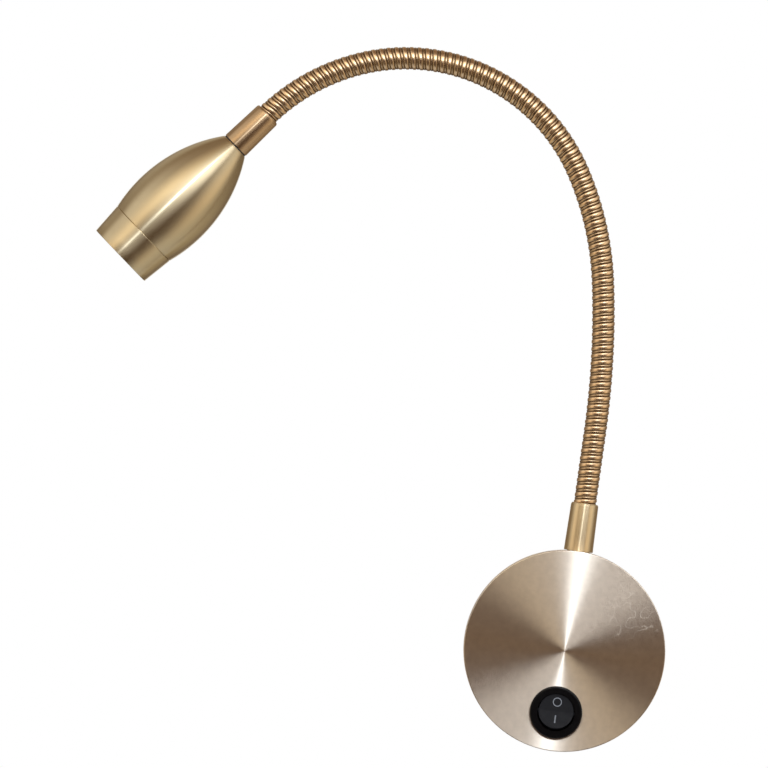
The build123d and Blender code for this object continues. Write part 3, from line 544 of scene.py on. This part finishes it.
NODE_FINISH = {
    "base_cover": disc_metal,
    "mounting_plate": zinc_steel,
    "cover_screws": zinc_steel,
    "cable_grommet": soft_rubber,
    "terminal_block": white_plastic,
    "terminal_screws": zinc_steel,
    "mains_leads": wire_red,
    "driver_case": white_plastic,
    "driver_lid": white_plastic,
    "driver_board": green_board,
    "driver_parts": component_black,
    "base_nipple": zinc_steel,
    "saddle_washer": bare_aluminium,
    "base_nut": zinc_steel,
    "switch_body": black_gloss,
    "switch_terminals": contact_brass,
    "switch_rocker": rocker_black,
    "rocker_plunger": white_plastic,
    "rocker_spring": spring_steel,
    "contact_blade": contact_brass,
    "head_washer": soft_rubber,
    "head_nipple": zinc_steel,
    "head_nut": zinc_steel,
    "heat_sink": bare_aluminium,
    "led_board": white_board,
    "board_screws": zinc_steel,
    "led_emitter": phosphor,
    "led_wires": wire_red,
    "lens_holder": component_black,
    "lens": clear_lens,
}


def dress(thing, material):
    """Gives a mesh object one material."""
    thing.data.materials.clear()
    thing.data.materials.append(material)


for node_name, node_material in NODE_FINISH.items():
    dress(nodes[node_name], node_material)


# Hose: one strip wound round the neck, cut into a length for each joint
def winding_profile():
    """Steps of (share of the pitch, radius) over a broad rib and the low ridge beside it."""
    profile = []
    for step in range(RIB_STEPS):
        across = -math.cos(math.pi * step / RIB_STEPS)
        rise = (1 - abs(across) ** RIB_FLATNESS) ** RIB_SHOULDER
        share = RIB_SHARE * (1 + across) / 2
        profile.append((share, GROOVE_R + (HOSE_R - GROOVE_R) * rise))
    for step in range(RIDGE_STEPS):
        across = -math.cos(math.pi * step / RIDGE_STEPS)
        rise = (1 - abs(across) ** RIDGE_FLATNESS) ** RIB_SHOULDER
        share = RIB_SHARE + (1 - RIB_SHARE) * (1 + across) / 2
        profile.append((share, GROOVE_R + (RIDGE_R - GROOVE_R) * rise))
    return profile


PROFILE = winding_profile()
PROFILE_STEPS = len(PROFILE)


def winding_slope(step):
    """Rise of the profile's radius per share of the pitch."""
    before_share, before_r = PROFILE[step - 1]
    after_share, after_r = PROFILE[(step + 1) % PROFILE_STEPS]
    if step == 0:
        before_share -= 1
    if step == PROFILE_STEPS - 1:
        after_share += 1
    return (after_r - before_r) / (after_share - before_share)


SLOPES = [winding_slope(step) for step in range(PROFILE_STEPS)]


def winding_point(turn_step, profile_step):
    """Place and surface direction of one point of the strip."""
    share, radius = PROFILE[profile_step]
    turns = turn_step / HOSE_STEPS
    centre, along, front, side = neck_axes(PITCH * (turns + share))
    angle = 2 * math.pi * turns
    out = front * math.cos(angle) + side * math.sin(angle)
    around = side * math.cos(angle) - front * math.sin(angle)
    slope = SLOPES[profile_step]
    direction = out - along * (slope / PITCH) + around * (slope / (2 * math.pi * radius))
    return centre + out * radius, direction.normalized()


def winding(name, first, last):
    """The strip from one step round the neck to another."""
    verts, normals, heights, faces = [], [], [], []
    for turn_step in range(first, last + 1):
        for profile_step in range(PROFILE_STEPS):
            point, direction = winding_point(turn_step, profile_step)
            verts.append(point)
            normals.append(direction)
            heights.append((PROFILE[profile_step][1] - GROOVE_R) / (HOSE_R - GROOVE_R))
    edge = len(verts)
    for turn_step in range(last + 1, last + HOSE_STEPS + 1):
        point, direction = winding_point(turn_step, 0)
        verts.append(point)
        normals.append(direction)
        heights.append(0.0)

    def index(turn_step, profile_step):
        if profile_step == PROFILE_STEPS:
            turn_step, profile_step = turn_step + HOSE_STEPS, 0
        if turn_step > last:
            return edge + turn_step - last - 1
        return (turn_step - first) * PROFILE_STEPS + profile_step

    for turn_step in range(first, last):
        for step in range(PROFILE_STEPS):
            faces.append((
                index(turn_step, step), index(turn_step + 1, step),
                index(turn_step + 1, step + 1), index(turn_step, step + 1),
            ))
    piece = new_piece(name, verts, faces)
    piece.data.normals_split_custom_set_from_vertices(normals)
    crest = piece.data.attributes.new("crest", "FLOAT", "POINT")
    crest.data.foreach_set("value", heights)
    return piece


def tube(name, start, end, capped_start, capped_end):
    """A plain length of the lead along the neck's line."""
    rows = max(2, math.ceil((end - start) / LEAD_ROW))
    verts, faces = [], []
    for row in range(rows + 1):
        centre, _along, front, side = neck_axes(start + (end - start) * row / rows)
        for step in range(LEAD_STEPS):
            angle = 2 * math.pi * step / LEAD_STEPS
            verts.append(centre + (front * math.cos(angle) + side * math.sin(angle)) * LEAD_R)
    for row in range(rows):
        for step in range(LEAD_STEPS):
            here, after = row * LEAD_STEPS + step, row * LEAD_STEPS + (step + 1) % LEAD_STEPS
            faces.append((here, after, after + LEAD_STEPS, here + LEAD_STEPS))
    if capped_start:
        faces.append(tuple(reversed(range(LEAD_STEPS))))
    if capped_end:
        faces.append(tuple(range(rows * LEAD_STEPS, (rows + 1) * LEAD_STEPS)))
    return new_piece(name, verts, faces)


def cut_step(joint_number):
    """Step of the winding at which the length for one joint ends, half a link past the joint."""
    return round(HOSE_STEPS * (RIBS_PER_LINK * (joint_number + 0.5) - 0.5))


# Hose and lead, a length of each over every joint
NECK_JOINTS = LINKS - 1
BLEND_MARGIN = 0.75 * PITCH
for number in range(1, NECK_JOINTS + 1):
    is_first, is_last = number == 1, number == NECK_JOINTS
    first_step = -HOSE_TUCK_TURNS * HOSE_STEPS if is_first else cut_step(number - 1)
    last_step = LINKS * RIBS_PER_LINK * HOSE_STEPS if is_last else cut_step(number)
    blend_from = (number - 0.5) * LINK_LENGTH + BLEND_MARGIN
    blend_to = (number + 0.5) * LINK_LENGTH - BLEND_MARGIN

    hose = winding(f"hose_{number:02d}", first_step, last_step)
    dress(hose, hose_metal)
    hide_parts(f"neck_link_{number:02d}", f"neck_link_{number + 1:02d}")
    neck_at(blend_from)[0]
    neck_at(blend_to)[0]
    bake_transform(hose)

    lead_from = LEAD_FOOT - NECK_FROM.z if is_first else (number - 0.5) * LINK_LENGTH
    lead_to = NECK_LENGTH + LEAD_IN_HEAD if is_last else (number + 0.5) * LINK_LENGTH
    lead = tube(f"lead_{number:02d}", lead_from, lead_to, is_first, is_last)
    dress(lead, lead_black)
    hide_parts("led_lead")
    neck_at(blend_from)[0]
    neck_at(blend_to)[0]
    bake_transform(lead)


# Ferrules
def ferrule(name, root, along, length):
    """A tapered sleeve with a rounded mouth, its root at a point."""
    mouth = [(radius, length + back) for radius, back in FERRULE_MOUTH]
    return turned(name, FERRULE_ROOT + mouth, axes_matrix(root, along))


UP = Vector((0.0, 0.0, 1.0))
base_sleeve = ferrule("base_sleeve", NECK_FROM - UP * BASE_FERRULE * MM, UP, BASE_FERRULE)
dress(base_sleeve, ferrule_gold)
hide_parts("base_ferrule")
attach(base_sleeve, "base")

sleeve_root, neck_along, _front, _side = neck_axes(NECK_LENGTH + HEAD_FERRULE * MM)
head_sleeve = ferrule("head_sleeve", sleeve_root, -neck_along, HEAD_FERRULE)
dress(head_sleeve, ferrule_copper)
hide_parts("head_ferrule")
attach(head_sleeve, "head")

# Head
HEAD_PLACE = axes_matrix(sleeve_root + neck_along * WASHER * MM, neck_along)


def head_outline():
    """Bulb-shaped outside of the head on one arc, then its inside back to the neck."""
    rise = HEAD_MAX_R - HEAD_BACK_R
    arc_r = (HEAD_MAX_AT ** 2 + rise ** 2) / (2 * rise)
    outline = [(HEAD_BACK_R - HEAD_EDGE, 0.0)]
    for row in range(HEAD_ROWS + 1):
        height = HEAD_EDGE + (SEAM_AT - 2 * HEAD_EDGE) * row / HEAD_ROWS
        radius = HEAD_MAX_R - arc_r + math.sqrt(arc_r ** 2 - (height - HEAD_MAX_AT) ** 2)
        outline.append((radius, height))
    outline.append((outline[-1][0] - HEAD_EDGE, SEAM_AT))
    return outline + HEAD_INSIDE


bulb = turned("head_bulb", head_outline(), HEAD_PLACE)
dress(bulb, head_metal)
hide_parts("head_shell")
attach(bulb, "head")

nose_ring = turned("nose_ring", RING_OUTLINE, HEAD_PLACE)
dress(nose_ring, head_metal)
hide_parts("front_ring")
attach(nose_ring, "head")

# Marks on the rocker
rocker_pivot = Vector(joints["rocker_tilt"]["pos_m"])


def on_rocker(across, up, proud):
    """Point of the rocker's hollow face at rest, with its upper half pressed in."""
    local = Vector((across, -FACE_MIDDLE - abs(up) * FACE_SLOPE - proud, up))
    return rocker_pivot + Matrix.Rotation(-ROCKER_TILT, 3, "X") @ local


def mark(name, inner, outer):
    """A thin raised mark between an inner and an outer closed line of (across, up)."""
    count = len(outer)
    verts = []
    for proud in (-MARK_PROUD, MARK_PROUD):
        for line in (inner, outer):
            verts.extend(on_rocker(across, up, proud) for across, up in line)
    faces = []
    for step in range(count):
        after = (step + 1) % count
        for low, high in ((0, 1), (1, 3), (3, 2), (2, 0)):
            faces.append((
                low * count + step, low * count + after, high * count + after, high * count + step
            ))
    piece = new_piece(name, verts, faces)
    face_outwards(piece)
    dress(piece, mark_white)
    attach(piece, "rocker")


def round_line(radius, middle):
    """A circle as a closed line."""
    turns = [2 * math.pi * step / RING_MARK_STEPS for step in range(RING_MARK_STEPS)]
    return [(radius * math.cos(turn), middle + radius * math.sin(turn)) for turn in turns]


def slot_line(half_width, half_length, middle):
    """A bar with round ends as a closed line."""
    line = []
    for end in (1, -1):
        for step in range(BAR_END_STEPS):
            turn = math.pi * step / (BAR_END_STEPS - 1)
            line.append((
                end * half_width * math.cos(turn),
                middle + end * (half_length - half_width + half_width * math.sin(turn)),
            ))
    return line


mark(
    "mark_ring",
    round_line(RING_MARK_R - RING_MARK_LINE, RING_MARK_AT),
    round_line(RING_MARK_R, RING_MARK_AT),
)
mark(
    "mark_bar",
    slot_line(BAR_CORE, (BAR_MARK_LENGTH - BAR_MARK_WIDTH) / 2 + BAR_CORE, BAR_MARK_AT),
    slot_line(BAR_MARK_WIDTH / 2, BAR_MARK_LENGTH / 2, BAR_MARK_AT),
)

# Floor
floor_mesh = bpy.data.meshes.new("floor")
floor_work = bmesh.new()
bmesh.ops.create_circle(floor_work, cap_ends=True, segments=FLOOR_STEPS, radius=FLOOR_R)
floor_work.to_mesh(floor_mesh)
floor_work.free()
floor = bpy.data.objects.new("floor", floor_mesh)
floor.location = (TARGET.x, 0.0, FLOOR_Z)
bpy.context.scene.collection.objects.link(floor)
dress(floor, pale_floor)

# World: a plain white background, and a room that the metal reflects
world = bpy.data.worlds.new("studio")
bpy.context.scene.world = world
world.use_nodes = True
sky = world.node_tree
sky.nodes.clear()


def sky_node(kind, **settings):
    """A new node of the world with some of its settings."""
    node = sky.nodes.new(kind)
    for key, value in settings.items():
        setattr(node, key, value)
    return node


def sky_value(operation, first, second=0.0):
    """Result of one operation on values or numbers."""
    node = sky_node("ShaderNodeMath", operation=operation)
    for socket, value in zip(node.inputs, (first, second)):
        if isinstance(value, float):
            socket.default_value = value
        else:
            sky.links.new(value, socket)
    return node.outputs["Value"]


def sky_range(source, stretch):
    """A soft change from 0 to 1 over a stretch of a value."""
    node = sky_node("ShaderNodeMapRange", interpolation_type="SMOOTHSTEP")
    node.inputs["From Min"].default_value = stretch[0]
    node.inputs["From Max"].default_value = stretch[1]
    sky.links.new(source, node.inputs["Value"])
    return node.outputs["Result"]


def sky_within(*ranges):
    """Where all of several (value, stretch) changes have happened."""
    inside = sky_range(*ranges[0])
    for source, stretch in ranges[1:]:
        inside = sky_value("MULTIPLY", inside, sky_range(source, stretch))
    return inside


def sky_mix(factor, first, second):
    """One colour turned into another by a factor."""
    node = sky_node("ShaderNodeMixRGB")
    sky.links.new(factor, node.inputs["Fac"])
    for name, value in (("Color1", first), ("Color2", second)):
        if isinstance(value, tuple):
            node.inputs[name].default_value = (*value, 1.0)
        else:
            sky.links.new(value, node.inputs[name])
    return node.outputs["Color"]


WHITE = (1.0, 1.0, 1.0)
AMBIENT = 0.65

# Colours of the room
ROOM_MIDDLE = (0.48, 0.42, 0.34)
ROOM_FRONT = (0.075, 0.034, 0.018)
ROOM_LOWER = (0.56, 0.48, 0.33)
ROOM_UNDER = (0.06, 0.03, 0.01)
ROOM_EDGE = (0.20, 0.15, 0.10)
ROOM_WINGS = (1.05, 0.83, 0.56)
ROOM_SIDES = (1.0, 0.95, 0.86)
ROOM_PANEL_LEFT = (2.05, 1.84, 1.48)
ROOM_PANEL_RIGHT = (2.7, 2.75, 2.8)
ROOM_CEILING = (0.22, 0.14, 0.08)

# Stretches of the direction, as parts of a length of 1, over which those colours come in
FRONT_TO_MIDDLE_AWAY = (-0.70, -0.30)
LOWER_UPWARDS = (-0.35, -0.75)
UNDER_UPWARDS = (-0.25, -0.60)
UNDER_SIDEWAYS = (0.60, 0.35)
LEVEL_STEEPNESS = (0.50, 0.22)
EDGE_AWAY = (-0.05, 0.30)
WINGS_SIDEWAYS = (0.60, 0.82)
WINGS_AWAY = (-0.05, -0.30)
SIDES_SIDEWAYS = (0.60, 0.80)
SIDES_AWAY = (0.4, -0.2)
SIDES_UPWARDS = (-0.05, 0.20)
PANEL_ACROSS = (-0.35, 0.25)
PANEL_UPWARDS = (0.14, 0.32)
PANEL_AWAY = (-0.2, -0.45)
PANEL_SIDEWAYS = (0.74, 0.48)
CEILING_UPWARDS = (0.62, 0.86)
BACKGROUND_AWAY = (0.91, 0.985)

direction_parts = sky_node("ShaderNodeSeparateXYZ")
sky.links.new(sky_node("ShaderNodeTexCoord").outputs["Generated"], direction_parts.inputs["Vector"])
across, away, upwards = (direction_parts.outputs[axis] for axis in "XYZ")
sideways = sky_value("ABSOLUTE", across)
steepness = sky_value("ABSOLUTE", upwards)

room = sky_mix(sky_range(away, FRONT_TO_MIDDLE_AWAY), ROOM_FRONT, ROOM_MIDDLE)
room = sky_mix(sky_range(upwards, LOWER_UPWARDS), room, ROOM_LOWER)
room = sky_mix(sky_within((upwards, UNDER_UPWARDS), (sideways, UNDER_SIDEWAYS)), room, ROOM_UNDER)
room = sky_mix(sky_within((steepness, LEVEL_STEEPNESS), (away, EDGE_AWAY)), room, ROOM_EDGE)
wings = sky_within((sideways, WINGS_SIDEWAYS), (away, WINGS_AWAY), (steepness, LEVEL_STEEPNESS))
room = sky_mix(wings, room, ROOM_WINGS)
beside = sky_within((sideways, SIDES_SIDEWAYS), (away, SIDES_AWAY), (upwards, SIDES_UPWARDS))
room = sky_mix(beside, room, ROOM_SIDES)
panel = sky_mix(sky_range(across, PANEL_ACROSS), ROOM_PANEL_LEFT, ROOM_PANEL_RIGHT)
above = sky_within((upwards, PANEL_UPWARDS), (away, PANEL_AWAY), (sideways, PANEL_SIDEWAYS))
room = sky_mix(above, room, panel)
room = sky_mix(sky_range(upwards, CEILING_UPWARDS), room, ROOM_CEILING)
room = sky_mix(sky_range(away, BACKGROUND_AWAY), room, WHITE)

# The eye sees white, glossy and clear surfaces show the room, and matt ones get an even light
path = sky_node("ShaderNodeLightPath")
seen = sky_mix(path.outputs["Is Camera Ray"], room, WHITE)
shown = path.outputs["Is Camera Ray"]
for ray in ("Is Glossy Ray", "Is Transmission Ray"):
    shown = sky_value("MAXIMUM", shown, path.outputs[ray])
seen_light = sky_node("ShaderNodeBackground")
sky.links.new(seen, seen_light.inputs["Color"])
seen_light.inputs["Strength"].default_value = 1.0
plain_light = sky_node("ShaderNodeBackground")
plain_light.inputs["Color"].default_value = (*WHITE, 1.0)
plain_light.inputs["Strength"].default_value = AMBIENT
both = sky_node("ShaderNodeMixShader")
sky.links.new(shown, both.inputs["Fac"])
sky.links.new(plain_light.outputs["Background"], both.inputs[1])
sky.links.new(seen_light.outputs["Background"], both.inputs[2])
world_out = sky_node("ShaderNodeOutputWorld")
sky.links.new(both.outputs["Shader"], world_out.inputs["Surface"])

# Key lamp, which faces the middle of the disc
key_rise = math.sin(KEY_UP)
key_way = Vector((key_rise * math.tan(KEY_LEAN), -math.cos(KEY_UP), key_rise))
key_data = bpy.data.lights.new("key", "AREA")
key_data.shape = "SQUARE"
key_data.size = KEY_SIZE
key_data.energy = KEY_WATTS
key_data.color = KEY_COLOUR
key = bpy.data.objects.new("key", key_data)
key.location = DISC_MIDDLE + key_way * KEY_AWAY
key.rotation_euler = (-key_way).to_track_quat("-Z", "Y").to_euler()
bpy.context.scene.collection.objects.link(key)

# Camera
camera_data = bpy.data.cameras.new("camera")
camera_data.sensor_width = SENSOR
camera_data.lens = SENSOR * CAMERA_AWAY / VIEW_WIDTH
camera = bpy.data.objects.new("camera", camera_data)
bpy.context.scene.collection.objects.link(camera)
right = Vector((math.cos(ROLL), 0.0, math.sin(ROLL)))
up = Vector((-math.sin(ROLL), 0.0, math.cos(ROLL)))
back = right.cross(up)
turn = Matrix((right, up, back)).transposed().to_4x4()
camera.matrix_world = Matrix.Translation(TARGET + back * CAMERA_AWAY) @ turn
bpy.context.scene.camera = camera

bpy.context.scene.view_settings.view_transform = "Standard"
